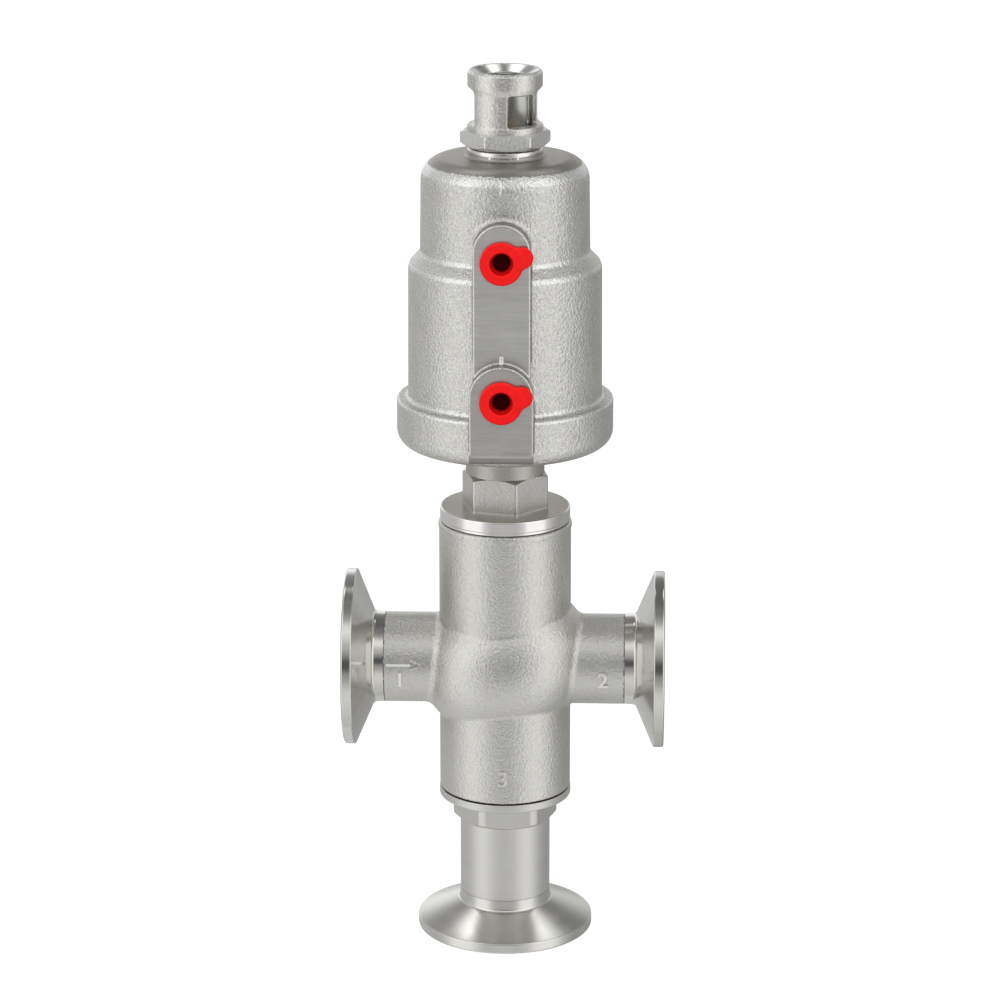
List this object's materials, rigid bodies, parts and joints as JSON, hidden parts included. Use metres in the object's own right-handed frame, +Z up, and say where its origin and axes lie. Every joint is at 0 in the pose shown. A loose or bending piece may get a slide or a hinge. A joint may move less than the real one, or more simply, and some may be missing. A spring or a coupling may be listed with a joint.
{
  "type": "three-way pneumatic seat valve",
  "caption": "Straight-stem three-way seat valve with clamp ferrules on its ports, a cast stainless spring-return piston actuator and a windowed position indicator.",
  "frame": {"origin": "centre of the bottom port's clamp face, on the stem axis", "axes": "+Z up along the stem, +X towards the right-hand port, -Y towards the two air ports"},
  "size_m": [0.0914, 0.0646, 0.2521],
  "materials": {
    "cast_stainless": "investment cast and bead blasted",
    "turned_stainless": "turned, bright",
    "spring_steel": "drawn wire",
    "piston_aluminium": "turned",
    "ptfe": "plain",
    "bush_plastic": "plain",
    "rubber": "moulded",
    "red_plastic": "moulded, satin",
    "clear_plastic": "clear, polished",
    "signal_plastic": "moulded"
  },
  "bodies": {
    "valve": {"ferrule_a": "turned_stainless", "ferrule_b": "turned_stainless", "ferrule_c": "turned_stainless", "lower_adaptor": "turned_stainless", "adaptor_gasket": "ptfe", "valve_body": "cast_stainless", "bonnet": "turned_stainless", "bonnet_gasket": "ptfe", "guide_bush": "bush_plastic", "packing_spring": "spring_steel", "packing_washer": "turned_stainless", "packing_ring_1": "ptfe", "packing_ring_2": "ptfe", "packing_ring_3": "ptfe", "gland_nut": "turned_stainless", "actuator_cover": "cast_stainless", "cover_o_ring": "rubber", "stem_o_ring": "rubber", "actuator_cylinder": "cast_stainless", "return_spring": "spring_steel", "indicator_cage": "cast_stainless", "indicator_o_ring": "rubber", "sight_tube": "clear_plastic"},
    "stem": {"valve_plug": "turned_stainless", "lower_seat_seal": "ptfe", "upper_seat_seal": "ptfe", "plug_nut": "turned_stainless", "spindle": "turned_stainless", "piston": "piston_aluminium", "piston_seal": "rubber", "piston_guide_ring": "ptfe", "piston_nut": "turned_stainless", "indicator_rod": "turned_stainless", "indicator_head": "signal_plastic"},
    "upper_transport_plug": {"port_plug_upper": "red_plastic"},
    "lower_transport_plug": {"port_plug_lower": "red_plastic"}
  },
  "joints": [
    {"name": "stem_lift", "type": "slide", "parent": "valve", "child": "stem", "axis": [0, 0, 1], "range_m": [0, 0.008], "stiffness_N_per_m": 8000, "springref_m": -0.03, "deforming": ["return_spring"]},
    {"name": "upper_plug_pull", "type": "slide", "parent": "valve", "child": "upper_transport_plug", "axis": [0, -1, 0], "range_m": [0, 0.012]},
    {"name": "lower_plug_pull", "type": "slide", "parent": "valve", "child": "lower_transport_plug", "axis": [0, -1, 0], "range_m": [0, 0.012]}
  ]
}
